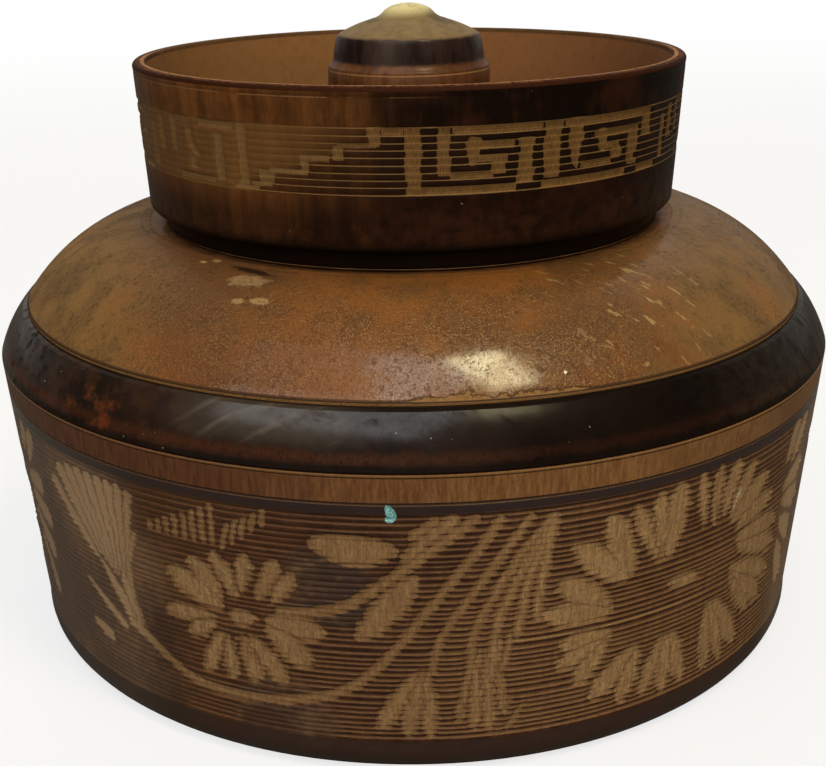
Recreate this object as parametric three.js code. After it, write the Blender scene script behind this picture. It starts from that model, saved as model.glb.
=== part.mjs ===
// A round trinket box turned from wood: a hollow body with a wide shoulder, a lid
// shaped like a shallow cup that stands in the mouth, and a turned knob in the lid.
// All lengths are in millimetres, +Z is up, and the origin is the centre of the base.
import * as THREE from 'three';

// Facets round the turned pieces.
const BOX_FACETS = 60;
const KNOB_FACETS = 40;

// Body, outside, from the base up.
const BASE_RADIUS = 76.9;
const FOOT_HEIGHT = 7.2;
const FOOT_RADIUS = 79.8;
const FOOT_BOW = 1.15;
const BELLY_RADIUS = 84.8;
const BELLY_HEIGHT = 57;
const BEAD_HEIGHT = 9.2;
const BEAD_INSET = 5.2;
const BEAD_BOW = 0.5;
const SHOULDER_HEIGHT = 14.8;
const SHOULDER_BOW = 3.4;
const LIP_RADIUS = 54.1;
const LIP_WIDTH = 1.2;

// The pale stripe lies between a groove and the bead.
const STRIPE_HEIGHT = 4.7;
const GROOVE_WIDTH = 0.9;
const GROOVE_DEPTH = 0.5;

// Body, inside.
const WALL = 6;
const FLOOR = 8;
const FLOOR_FILLET = 5;
const VAULT_BOW = 6;
const SEAT_DROP = 0.8;
const SEAT_WIDTH = 6;
const NECK_LENGTH = 9;

// Lid. The spigot drops into the neck, and the foot ring rests on the seat.
const SEAT_CLEARANCE = 0.3;
const SPIGOT_CLEARANCE = 0.4;
const SPIGOT_LENGTH = 6;
const SPIGOT_CHAMFER = 1;
const LID_FOOT_WIDTH = 2.4;
const LID_SET_BACK = 0.6;
const COVE_HEIGHT = 4.4;
const COVE_BOW = 1.1;
const LID_HEIGHT = 32.6;
const LID_FLARE = 1.9;
const RIM_THICKNESS = 2.6;
const RIM_ROUND = 1;
const RIM_EASE = 0.5;
const TRAY_WALL = 3.8;
const TRAY_FLOOR = 9;
const TRAY_FILLET = 4;

// Knob, with its tenon in the lid floor.
const TENON_RADIUS = 8;
const TENON_LENGTH = 6;
const TENON_CLEARANCE = 0.3;
const KNOB_HEIGHT = 39;
const KNOB_FOOT_RADIUS = 22;
const KNOB_STEM_BOW = 1.6;
const KNOB_RING_RADIUS = 16.4;
const KNOB_STEP = 1.6;
const KNOB_BAND_RADIUS = 15;
const KNOB_BAND_HEIGHT = 5.8;
const KNOB_SHOULDER_RADIUS = 14.1;
const KNOB_CONE_HEIGHT = 3.1;
const TIP_RADIUS = 5.6;
const TIP_HEIGHT = 2.9;
const TIP_FLARE = 1;

const BODY_WOOD = { color: 0x6b4524, roughness: 0.4, metalness: 0 };
const LID_WOOD = { color: 0x4a2a14, roughness: 0.38, metalness: 0 };
const KNOB_WOOD = { color: 0x2a1a10, roughness: 0.3, metalness: 0 };

// Levels and radii that the pieces share.
const beadTop = BELLY_HEIGHT + BEAD_HEIGHT;
const lipTop = beadTop + SHOULDER_HEIGHT;
const seatLevel = lipTop - SEAT_DROP;
const neckRadius = LIP_RADIUS - SEAT_WIDTH;
const lidBottom = seatLevel + SEAT_CLEARANCE;
const spigotBottom = lidBottom - SPIGOT_LENGTH;
const trayLevel = spigotBottom + TRAY_FLOOR;

// A profile is a list of [radius, height] points that runs anticlockwise, so that
// the wood lies on its left and the open air on its right.

// A parabola from one profile point to the next. It stands out from the straight
// line by bow in the middle, towards the open air, or into the wood if bow is negative.
function curve(from, to, bow, steps) {
  const across = to[0] - from[0];
  const up = to[1] - from[1];
  const length = Math.hypot(across, up);
  const points = [];
  for (let i = 0; i <= steps; i += 1) {
    const t = i / steps;
    const out = 4 * bow * t * (1 - t);
    points.push([
      from[0] + across * t + (up / length) * out,
      from[1] + up * t - (across / length) * out,
    ]);
  }
  return points;
}

// A quarter of a circle or ellipse round a centre, between two angles in degrees.
function quarter(centre, radiusAcross, radiusUp, start, end, steps) {
  const points = [];
  for (let i = 0; i <= steps; i += 1) {
    const angle = THREE.MathUtils.degToRad(start + ((end - start) * i) / steps);
    points.push([
      centre[0] + radiusAcross * Math.cos(angle),
      centre[1] + radiusUp * Math.sin(angle),
    ]);
  }
  return points;
}

// A V groove cut into an upright wall, centred on one height.
function groove(radiusAt, height) {
  return [
    [radiusAt(height - GROOVE_WIDTH / 2), height - GROOVE_WIDTH / 2],
    [radiusAt(height) - GROOVE_DEPTH, height],
    [radiusAt(height + GROOVE_WIDTH / 2), height + GROOVE_WIDTH / 2],
  ];
}

// The solid that a closed profile sweeps round the Z axis.
function turned(name, profile, facets, wood) {
  const points = profile.map(([radius, height]) => new THREE.Vector2(radius, height));
  const geometry = new THREE.LatheGeometry(points, facets);
  geometry.rotateX(Math.PI / 2);
  const mesh = new THREE.Mesh(geometry, new THREE.MeshStandardMaterial(wood));
  mesh.name = name;
  return mesh;
}

// The outer wall leans out in a straight line from the foot to the belly.
function bodyWall(height) {
  const share = (height - FOOT_HEIGHT) / (BELLY_HEIGHT - FOOT_HEIGHT);
  return FOOT_RADIUS + (BELLY_RADIUS - FOOT_RADIUS) * share;
}

function makeBody() {
  const beadRadius = BELLY_RADIUS - BEAD_INSET;
  const halfGroove = GROOVE_WIDTH / 2;
  const bellyEdge = [bodyWall(BELLY_HEIGHT) - GROOVE_DEPTH, BELLY_HEIGHT];
  const beadFoot = [BELLY_RADIUS, BELLY_HEIGHT + halfGroove];
  const beadHead = [beadRadius + halfGroove, beadTop - halfGroove];
  const shoulderFoot = [beadRadius - halfGroove, beadTop + halfGroove];
  const insideWall = (height) => bodyWall(height) - WALL;
  const cornerRadius = insideWall(FLOOR + FLOOR_FILLET) - FLOOR_FILLET;
  const outside = [
    [0, 0],
    ...curve([BASE_RADIUS, 0], [FOOT_RADIUS, FOOT_HEIGHT - halfGroove], FOOT_BOW, 3),
    ...groove(bodyWall, FOOT_HEIGHT).slice(1),
    ...groove(bodyWall, BELLY_HEIGHT - STRIPE_HEIGHT),
    [bodyWall(BELLY_HEIGHT - halfGroove), BELLY_HEIGHT - halfGroove],
    bellyEdge,
    ...curve(beadFoot, beadHead, BEAD_BOW, 4),
    [beadRadius - GROOVE_DEPTH, beadTop - GROOVE_DEPTH],
    ...curve(shoulderFoot, [LIP_RADIUS, lipTop], SHOULDER_BOW, 7),
    [LIP_RADIUS - LIP_WIDTH, seatLevel],
    [neckRadius, seatLevel],
  ];
  const vaultHead = [neckRadius, seatLevel - NECK_LENGTH];
  const vaultFoot = [insideWall(BELLY_HEIGHT), BELLY_HEIGHT];
  const inside = [
    vaultHead,
    ...curve(vaultHead, vaultFoot, -VAULT_BOW, 6).slice(1),
    ...quarter([cornerRadius, FLOOR + FLOOR_FILLET], FLOOR_FILLET, FLOOR_FILLET, 0, -90, 3),
    [0, FLOOR],
  ];
  return turned('body', [...outside, ...inside], BOX_FACETS, BODY_WOOD);
}

function makeLid() {
  const spigotRadius = neckRadius - SPIGOT_CLEARANCE;
  const footRadius = neckRadius + LID_FOOT_WIDTH;
  const wallFoot = [LIP_RADIUS - LID_SET_BACK, lidBottom + COVE_HEIGHT];
  const rimTop = lidBottom + LID_HEIGHT;
  const rimRadius = wallFoot[0] + LID_FLARE;
  const trayTopRadius = rimRadius - RIM_THICKNESS;
  const trayFootRadius = wallFoot[0] - TRAY_WALL;
  const socketRadius = TENON_RADIUS + TENON_CLEARANCE;
  const socketBottom = trayLevel - TENON_LENGTH - TENON_CLEARANCE;
  const outerRound = [rimRadius - RIM_ROUND, rimTop - RIM_ROUND];
  const innerRound = [trayTopRadius + RIM_EASE, rimTop - RIM_EASE];
  const filletCentre = [trayFootRadius - TRAY_FILLET, trayLevel + TRAY_FILLET];
  const profile = [
    [0, spigotBottom],
    [spigotRadius - SPIGOT_CHAMFER, spigotBottom],
    [spigotRadius, spigotBottom + SPIGOT_CHAMFER],
    [spigotRadius, lidBottom],
    ...curve([footRadius, lidBottom], wallFoot, -COVE_BOW, 4),
    ...quarter(outerRound, RIM_ROUND, RIM_ROUND, 0, 90, 3),
    ...quarter(innerRound, RIM_EASE, RIM_EASE, 90, 180, 2),
    ...quarter(filletCentre, TRAY_FILLET, TRAY_FILLET, 0, -90, 4),
    [socketRadius, trayLevel],
    [socketRadius, socketBottom],
    [0, socketBottom],
  ];
  return turned('lid', profile, BOX_FACETS, LID_WOOD);
}

function makeKnob() {
  const foot = trayLevel + TENON_CLEARANCE;
  const top = foot + KNOB_HEIGHT;
  const tenonBottom = foot - TENON_LENGTH;
  const tipFoot = top - TIP_HEIGHT;
  const bandHead = tipFoot - KNOB_CONE_HEIGHT;
  const bandFoot = bandHead - KNOB_BAND_HEIGHT;
  const ringLevel = bandFoot - KNOB_STEP;
  const profile = [
    [0, tenonBottom],
    [TENON_RADIUS, tenonBottom],
    [TENON_RADIUS, foot],
    ...curve([KNOB_FOOT_RADIUS, foot], [KNOB_RING_RADIUS, ringLevel], -KNOB_STEM_BOW, 6),
    [KNOB_BAND_RADIUS, bandFoot],
    [KNOB_SHOULDER_RADIUS, bandHead],
    [TIP_RADIUS + TIP_FLARE, tipFoot],
    ...quarter([0, tipFoot], TIP_RADIUS, TIP_HEIGHT, 15, 90, 5),
  ];
  return turned('knob', profile, KNOB_FACETS, KNOB_WOOD);
}

const box = new THREE.Group();
box.add(makeBody(), makeLid(), makeKnob());
export default box;
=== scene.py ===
# A round trinket box of turned, lacquered wood with scraped ornament, its cup-shaped lid and its knob.
# Every piece is turned round the Z axis, so each is a profile of radius and height, here in mm.
import math
from functools import partialmethod

import bpy
import numpy as np
from mathutils import Matrix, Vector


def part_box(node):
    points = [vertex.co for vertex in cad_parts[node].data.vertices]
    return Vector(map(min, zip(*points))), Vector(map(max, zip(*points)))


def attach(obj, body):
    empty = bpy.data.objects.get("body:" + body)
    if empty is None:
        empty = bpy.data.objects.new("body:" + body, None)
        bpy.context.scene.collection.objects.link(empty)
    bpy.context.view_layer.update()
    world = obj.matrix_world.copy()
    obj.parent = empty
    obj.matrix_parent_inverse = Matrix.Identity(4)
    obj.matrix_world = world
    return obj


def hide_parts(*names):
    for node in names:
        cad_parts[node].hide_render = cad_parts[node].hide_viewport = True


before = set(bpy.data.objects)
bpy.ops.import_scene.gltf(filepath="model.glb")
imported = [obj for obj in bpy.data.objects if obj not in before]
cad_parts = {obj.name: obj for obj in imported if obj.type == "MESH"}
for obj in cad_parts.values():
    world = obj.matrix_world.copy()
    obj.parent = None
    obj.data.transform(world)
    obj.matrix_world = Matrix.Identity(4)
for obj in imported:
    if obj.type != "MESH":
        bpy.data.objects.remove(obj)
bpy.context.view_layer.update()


# The body: one block of wood, turned and hollowed on a lathe and lacquered dark. Fine lines are turned
# through the lacquer of the wide band, and flowers, leaves and stems are scraped back to the pale wood.
MM = 0.001
BELLY_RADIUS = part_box("body")[1].x / MM
LIP_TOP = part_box("body")[1].z / MM
BASE_RADIUS = 76.9
FOOT_RADIUS = 79.8
FOOT_HEIGHT = 7.2
FOOT_BOW = 1.15
BASE_HOLLOW = 0.4
BAND_FOOT = 6.4
LINES_FOOT = 6.35
BAND_TOP = 50.2
BAND_GROOVE = 51.75
STRIPE_FOOT = 52.2
STRIPE_GROOVE = 56.5
GROOVE_DEPTH = 0.25
BELLY_HEIGHT = 57.0
BEAD_TOP = 66.2
BEAD_RADIUS = BELLY_RADIUS - 5.2
BEAD_BOW = 0.5
SHOULDER_BOW = 3.4
LIP_RADIUS = 54.1
LIP_WIDTH = 1.2
SEAT_LEVEL = LIP_TOP - 0.8
NECK_RADIUS = LIP_RADIUS - 6.0
NECK_LENGTH = 9.0
VAULT_BOW = 6.0
WALL = 6.0
FLOOR = 8.0
FLOOR_FILLET = 5.0
BAND_RADIUS = 84.0
LINE_START = 6.9
LINE_PITCH = 1.085
LINE_COUNT = 40
LINE_HALF_WIDTH = 0.27
LINE_DEPTH = 0.3
SCORE_HEIGHT = 25.3
SCRAPE_DEPTH = 0.26
FINE_COLUMNS = 640
COARSE_COLUMNS = 160
TURN = 2 * math.pi
BARE, BAND, STRIPE, BEAD, SHOULDER, INSIDE = range(6)


def bowed(start, end, bow, steps):
    """Points on a parabola between two profile points. In the middle it stands out from the chord by
    bow, to the right of its travel."""
    start = np.array(start, float)
    across, up = np.array(end, float) - start
    share = np.linspace(0, 1, steps + 1)[:, None]
    right = np.array([up, -across]) / math.hypot(across, up)
    return start + share * [across, up] + 4 * bow * share * (1 - share) * right


def rounded(centre, radius, first, last, steps):
    """Points on an arc round a centre, from one angle in degrees to another."""
    angle = np.radians(np.linspace(first, last, steps + 1))[:, None]
    return np.array(centre) + radius * np.hstack([np.cos(angle), np.sin(angle)])


def rows(points, finish, sunk=0.0, scraped=0.0):
    """Profile rows: radius, height, the depth of a turned line there, whether strokes are scraped
    there, and the number of the finish above the row."""
    points = np.array(points, float)
    more = np.column_stack([np.broadcast_to(v, len(points)) for v in (sunk, scraped, finish)])
    return np.hstack([points, more])


def stacked(parts, columns):
    """One profile from its parts, and the number of columns of each of its rows."""
    return np.vstack(parts), np.repeat(columns, [len(part) for part in parts])


def line_phase(height):
    """How many turned lines lie below a height. The pitch drifts a little, as it does by hand. This
    and stroke_depth work on arrays and on a material's wires alike."""
    drift = 0.16 * np.sin(0.61 * height) + 0.1 * np.sin(1.37 * height + 1.0)
    return (height - LINE_START) / LINE_PITCH + drift


def line_rows(phase, count, low, high, half_width, wall, finish, depth):
    """Three profile rows to each turned line: its lower edge, its bottom and its upper edge."""
    fine = np.linspace(low, high, 4000)
    middles = np.interp(np.arange(count), phase(fine), fine)
    heights = (middles[:, None] + [-half_width, 0, half_width]).ravel()
    points = np.column_stack([wall(heights), heights])
    return rows(points, finish, np.tile([0, depth, 0], count), 1)


def stroke_depth(u, v, base_u, base_v, length, along_u, along_v, bow, half_width, base_taper, tip_taper):
    """How deep a place (u, v) on the unrolled wall lies inside a scraped stroke, in mm: the half width
    there, less the distance from the bowed axis, less the distance past either end. The half width
    rises as a quarter ellipse over the taper at each end."""
    right, up = u - base_u, v - base_v
    reach = right * along_u + up * along_v
    side = up * along_u - right * along_v
    share = (reach / length).clip(0, 1)
    off_axis = abs(side - bow * 4 * share * (1 - share))
    base_end = (reach / base_taper).clip(0, 1)
    tip_end = ((length - reach) / tip_taper).clip(0, 1)
    half = half_width * (base_end * (2 - base_end) * tip_end * (2 - tip_end)) ** 0.5
    return half - off_axis - abs(reach - share * length)


def stroke(base_turn, base_height, tip_turn, tip_height, width, bow=0.0, base_share=0.7, tip_share=0.3,
           radius=BAND_RADIUS):
    """One scraped stroke from a base to a tip, each given as degrees round the wall and a height. The
    row that it returns holds what stroke_depth takes after u and v."""
    start = np.array([math.radians(base_turn) * radius, base_height])
    along = np.array([math.radians(tip_turn) * radius, tip_height]) - start
    length = math.hypot(*along)
    ends = max(base_share * length, 0.05), max(tip_share * length, 0.05)
    return [*start, length, *along / length, bow, width / 2, *ends]


def stem(points, width, radius=BAND_RADIUS):
    """A long stem through given points: one bowed stroke with round ends between neighbours. The
    slope at a point is that between its two neighbours, and an eighth of the change of slope across a
    stroke, taken square to it, is its bow."""
    places = np.array(points, float) * [math.radians(1) * radius, 1]
    slopes = np.gradient(places, axis=0)
    run = np.diff(places, axis=0)
    length = np.hypot(*run.T)[:, None]
    along = run / length
    change = (slopes[:-1] - slopes[1:]) / 8
    bow = (along[:, 0] * change[:, 1] - along[:, 1] * change[:, 0])[:, None]
    cap = width * 0.4
    halves = np.full((len(run), 3), width / 2)
    return np.hstack([places[:-1] - along * cap, length + 2 * cap, along, bow, halves]).tolist()


def nearest_turn(base_u, u, radius):
    """A stroke's place round the wall, counted on the side of the seam where u lies."""
    lap = TURN * radius
    return base_u - lap * np.round((base_u - u) / lap)


def deepest(u, v, strokes, radius):
    """For each place, its depth in the stroke that holds it best, and the numbers of the best two."""
    first, second = np.full(u.shape, -1e9), np.full(u.shape, -1e9)
    best, next_best = np.zeros(u.shape, int), np.zeros(u.shape, int)
    for number, row in enumerate(strokes):
        depth = stroke_depth(u, v, nearest_turn(row[0], u, radius), *row[1:])
        wins, places = depth > first, depth > second
        second = np.where(wins, first, np.where(places, depth, second))
        next_best = np.where(wins, best, np.where(places, number, next_best))
        first, best = np.where(wins, depth, first), np.where(wins, number, best)
    return first, best, next_best


def ring_faces(below, above, start, top):
    """The faces between two rings of vertices, which begin at vertex numbers start and top. Rings of
    one size take quads. A fan of triangles closes a pole, and fans join a fine and a coarse ring."""
    if below == above:
        j = np.arange(below)
        after = (j + 1) % below
        return np.column_stack([start + j, start + after, top + after, top + j]).tolist()
    fine, coarse = max(below, above), min(below, above)
    q = np.arange(fine)
    times = fine // coarse
    owner = (q // times + (q % times >= times // 2) * (coarse > 1)) % coarse
    j = np.arange(coarse if coarse > 1 else 0)
    after, middle = (j + 1) % coarse, j * times + times // 2
    if above > below:
        fans = np.column_stack([start + owner, top + (q + 1) % fine, top + q])
        gaps = np.column_stack([start + j, start + after, top + middle])
    else:
        fans = np.column_stack([start + q, start + (q + 1) % fine, top + owner])
        gaps = np.column_stack([start + middle, top + after, top + j])
    return fans.tolist() + gaps.tolist()


def turned(name, profile, columns, finishes, strokes=None, radius=1.0):
    """A closed mesh: each profile row is a ring of vertices round the Z axis, and a row on the axis is
    a pole. Each face keeps the two strokes that lie deepest at its middle, as attributes, so that a
    material can draw their outlines exactly."""
    counts = np.where(profile[:, 0] < 1e-6, 1, columns)
    starts = np.concatenate([[0], np.cumsum(counts)])
    ring = np.repeat(np.arange(len(profile)), counts)
    angle = (np.arange(starts[-1]) - starts[ring]) / counts[ring] * TURN
    reach, height, sunk, scraped, _ = profile[ring].T
    if strokes is not None:
        held = scraped > 0
        u = ((angle[held] + math.pi) % TURN - math.pi) * radius
        share = np.zeros(len(angle))
        share[held] = (deepest(u, height[held], strokes, radius)[0] / 0.5 + 0.5).clip(0, 1)
        share = share * share * (3 - 2 * share)
        reach = reach - sunk * (1 - 0.94 * share) - SCRAPE_DEPTH * share
    places = np.column_stack([reach * np.sin(angle), -reach * np.cos(angle), height]) * MM
    gaps = [ring_faces(counts[i], counts[i + 1], starts[i], starts[i + 1]) for i in range(len(counts) - 1)]
    faces = sum(gaps, [])
    mesh = bpy.data.meshes.new(name)
    mesh.from_pydata(places, [], faces)
    mesh.polygons.foreach_set("use_smooth", np.ones(len(faces), bool))
    number = np.repeat(profile[:-1, 4].astype(np.int32), [len(gap) for gap in gaps])
    mesh.polygons.foreach_set("material_index", number)
    for finish in finishes:
        mesh.materials.append(finish)
    mesh.set_sharp_from_angle(angle=math.radians(55))
    if strokes is not None:
        centres = np.zeros(len(faces) * 3)
        mesh.polygons.foreach_get("center", centres)
        x, y, z = centres.reshape(-1, 3).T / MM
        u = np.arctan2(x, -y) * radius
        _, best, next_best = deepest(u, z, strokes, radius)
        for rank, chosen in (("first", best), ("second", next_best)):
            numbers = strokes[chosen]
            numbers[:, 0] = nearest_turn(numbers[:, 0], u, radius)
            for part, three in zip("abc", np.split(numbers, 3, axis=1)):
                kept = mesh.attributes.new(f"{rank}_{part}", "FLOAT_VECTOR", "FACE")
                kept.data.foreach_set("vector", three.astype(np.float32).ravel())
    mesh.update()
    piece = bpy.data.objects.new(name, mesh)
    bpy.context.collection.objects.link(piece)
    return piece


# The ornament as it lies round the wall from the middle of the front. A row has a stroke's base and tip,
# as degrees and a height each, and its width. A leaf's row has its bow too.
LARGE_FLOWER = [
    (25, 33.3, 17.3, 42, 6.2), (25.2, 33.5, 21.8, 46.7, 6.2), (29.3, 35, 24.9, 47.4, 3.8),
    (29.8, 35, 28.3, 48.8, 4.4), (30.6, 35.2, 31.4, 49.6, 6.2), (36, 38.6, 34.7, 50, 3.4),
    (37.9, 38, 37.8, 50.3, 3.4), (39.3, 39, 41.2, 49.9, 4.4), (41, 37.6, 44.8, 48, 5.2),
    (41.5, 37.4, 48.8, 43.6, 6.4), (42.3, 35.6, 51, 38.6, 5.4), (42.7, 33.2, 54, 31.6, 6),
    (43.2, 31.6, 54.6, 26.6, 5.6), (42.3, 27.5, 54, 20.8, 6), (42.6, 26.9, 52.4, 15.8, 6),
    (42.5, 26.8, 49.4, 15, 5), (38.7, 23, 39.9, 7.8, 4.6),
    (39.2, 23, 43.4, 8, 5), (39.8, 22.6, 46.6, 9.6, 5.4), (31.4, 20, 28.6, 8.3, 4.6),
    (32, 20.2, 32, 7.2, 4.8), (32.6, 20, 35.4, 8, 4.6), (27.4, 19.5, 20.8, 10.6, 5.6),
    (27.6, 19.3, 25.2, 8, 4.8), (23.5, 23.5, 16.2, 22.8, 4.8), (23.3, 23, 15.9, 18.6, 4.4),
    (23, 22.4, 18.5, 14.3, 4.8), (23, 28.5, 15.7, 35.6, 6.2), (23.3, 28.1, 14, 29.3, 6),
]
SMALL_FLOWER = [
    (-23.5, 29.5, -31.3, 35, 5.6), (-23.8, 30.5, -27.6, 38.2, 5.2), (-21.6, 32, -24.6, 40.3, 3.8),
    (-21, 33, -20.4, 41, 3.6), (-19.3, 32.3, -16.2, 40.3, 3.8), (-17.6, 32, -14.2, 38.2, 3.4),
    (-18.6, 28.6, -11, 27.2, 5.2), (-18.4, 27.4, -13, 20.5, 5.6), (-20.8, 25.2, -16.2, 16.4, 4.6),
    (-21.8, 25, -20, 15.5, 3.8), (-23.6, 24.6, -23.4, 15.2, 3.2), (-24.2, 24.8, -27.2, 15.7, 3.6),
    (-24.6, 26.4, -29.4, 22.9, 3.8), (-24.8, 27.4, -32.6, 26.4, 3.8),
]
BUD = [(-0.2, 20.6, -5.3, 8.6, 4.2), (0.1, 21, -1.8, 7.2, 4), (0.6, 21, 1, 6.6, 3.6)]
FAN = [
    (-38.6, 30, -35.9, 47.9, 2.5), (-39, 29, -37.7, 48.3, 2.6), (-39.5, 29, -39.5, 48.4, 2.7),
    (-40, 29, -41.4, 48.6, 2.8), (-40.6, 29.5, -43.6, 48.6, 3), (-41.2, 30, -45.8, 48.4, 3.1),
    (-42, 31, -48, 48, 3.2), (-43, 32, -50.3, 47.2, 3.3), (-43.5, 31, -52.6, 43.6, 3),
    (-43.5, 31.4, -37.8, 20.6, 3.2), (-39.5, 31, -37.6, 20.3, 3.6), (-48, 26, -40, 18.5, 2.2),
    (-48, 16.4, -43.5, 14.6, 3),
]
EDGE_LEAVES = [
    (54.6, 41.8, 57.4, 49.8, 4.6), (57, 41, 61.4, 49.4, 4.6), (54.8, 37, 62.6, 38.8, 5),
    (55, 34.4, 63.6, 31.4, 5.2), (55.6, 30.4, 62.6, 23.6, 5.2), (56.4, 25.6, 60.4, 14.4, 5),
]
PLUME = [
    (6, 24, 4.3, 9.5, 2.2), (6.6, 25, 6.3, 8, 3.2), (7.4, 25, 8.2, 7.6, 3.2),
    (8.6, 24, 9.9, 10.6, 2.2), (12.4, 13, 10.2, 7.6, 1.6), (11, 14.8, 9.6, 11.6, 1.3),
    (9, 28, 8, 17, 3.4), (10.6, 28, 9.2, 18.5, 2),
]
LEAVES = [
    (-7.5, 26.6, -0.4, 38.9, 5.6, -0.4), (-2.4, 43.4, -12.4, 44.4, 5.8, 0.5),
    (-23.2, 28, -19.4, 28.6, 3.6, 0), (30.9, 29.9, 36.4, 29.3, 3.4, 0),
]
STEMS = [
    ([(-39, 20.6), (-36, 18.6), (-33, 15.9), (-29.5, 13.4), (-25, 12.5), (-20, 12.6), (-15, 13.6),
      (-10.5, 15.5), (-6.8, 18.9), (-3.6, 23.7), (-0.6, 29.5), (2.4, 35.4), (5.4, 41.3), (8.8, 48.6)], 2.1),
    ([(-16.5, 30.6), (-12, 31.4), (-8.3, 33.2), (-5.2, 36.2), (-2.4, 39.4), (0.4, 42.6), (3.2, 45.8),
      (6, 48.9)], 2.2),
    ([(-1.5, 42.4), (0.6, 45.2), (3.6, 48.9)], 2.8),
    ([(-1, 46), (1.6, 48.8)], 2.2),
    ([(1.3, 20.4), (1.7, 24.6), (3.3, 29.4), (5.4, 34.2), (8, 39.8), (10.2, 44.6), (12.2, 48.5)], 1.9),
    ([(5.7, 20.5), (5.9, 26), (7.2, 31.5), (9, 36.5), (11.4, 42), (14.8, 48.1)], 2.1),
    ([(8.3, 23.5), (8.8, 29.5), (10.2, 35), (12, 40.5), (14.2, 46)], 2.2),
    ([(11.2, 26.5), (11.7, 32.5), (12.7, 39), (14.3, 45.2)], 2.2),
    ([(13.5, 29.5), (13.7, 35.5), (14.2, 41.5), (14.9, 46.9)], 2.4),
    ([(-35.9, 39.3), (-37.6, 34), (-38, 28), (-37.4, 20.6)], 1.7),
]
FERN_BARS = 8
FERN_SPRIGS = 5
ORNAMENT_SHIFT = 0.8


def carried_round(front, radius, seed, uneven, astray=None):
    """The front's strokes, and two repeats by hand, a third of a turn away on each side: their widths
    are uneven by a share, and each stroke is astray by some mm."""
    hand = np.random.default_rng(seed)
    repeats = [front]
    for third in (1, 2):
        again = front.copy()
        again[:, 0] += TURN / 3 * third * radius
        if astray:
            again[:, :2] += hand.normal(0, astray, (len(front), 2))
        again[:, 6] *= hand.uniform(1 - uneven, 1 + uneven, len(front))
        repeats.append(again)
    return np.vstack(repeats)


def body_ornament():
    """The flowers, fan, fern, leaves and stems of the front, carried on round the band."""
    front = [stroke(*row, tip_share=0.07 * row[-1] + 0.1) for row in LARGE_FLOWER + SMALL_FLOWER + BUD]
    front += [stroke(*row, base_share=0.9, tip_share=0.08) for row in FAN]
    front += [stroke(*row, base_share=0.8, tip_share=0.25) for row in EDGE_LEAVES + PLUME]
    front += [stroke(*row, 0.5, 0.5) for row in LEAVES]
    for points, width in STEMS:
        front += stem(points, width)
    for bar in range(FERN_BARS):
        left = -33.0 + 1.28 * bar
        front.append(stroke(left, 41.4, left + 0.1, 43.4 + 0.85 * bar, 1.3, 0, 0.12, 0.12))
    for sprig in range(FERN_SPRIGS):
        left, foot = -22.9 + 1.3 * sprig, 40.8 + 1.35 * sprig
        right, top = left + 1.0 - 0.15 * sprig, foot + 5.4 - 0.45 * sprig
        front.append(stroke(left, foot, right, top, 1.2, 0.2, 0.3, 0.2))
    front = np.array(front)
    front[:, 0] += ORNAMENT_SHIFT
    return carried_round(front, BAND_RADIUS, seed=7, uneven=0.08, astray=0.25)


def body_wall(height):
    """The outer wall's radius: a straight lean from the foot to the belly."""
    lean = (BELLY_RADIUS - FOOT_RADIUS) / (BELLY_HEIGHT - FOOT_HEIGHT)
    return FOOT_RADIUS + (height - FOOT_HEIGHT) * lean


def groove(height, depth):
    """A fine turned groove, as heights and depths: its lower edge, its bottom and its upper edge."""
    return (height - 0.15, 0), (height, depth), (height + 0.15, 0)


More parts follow.
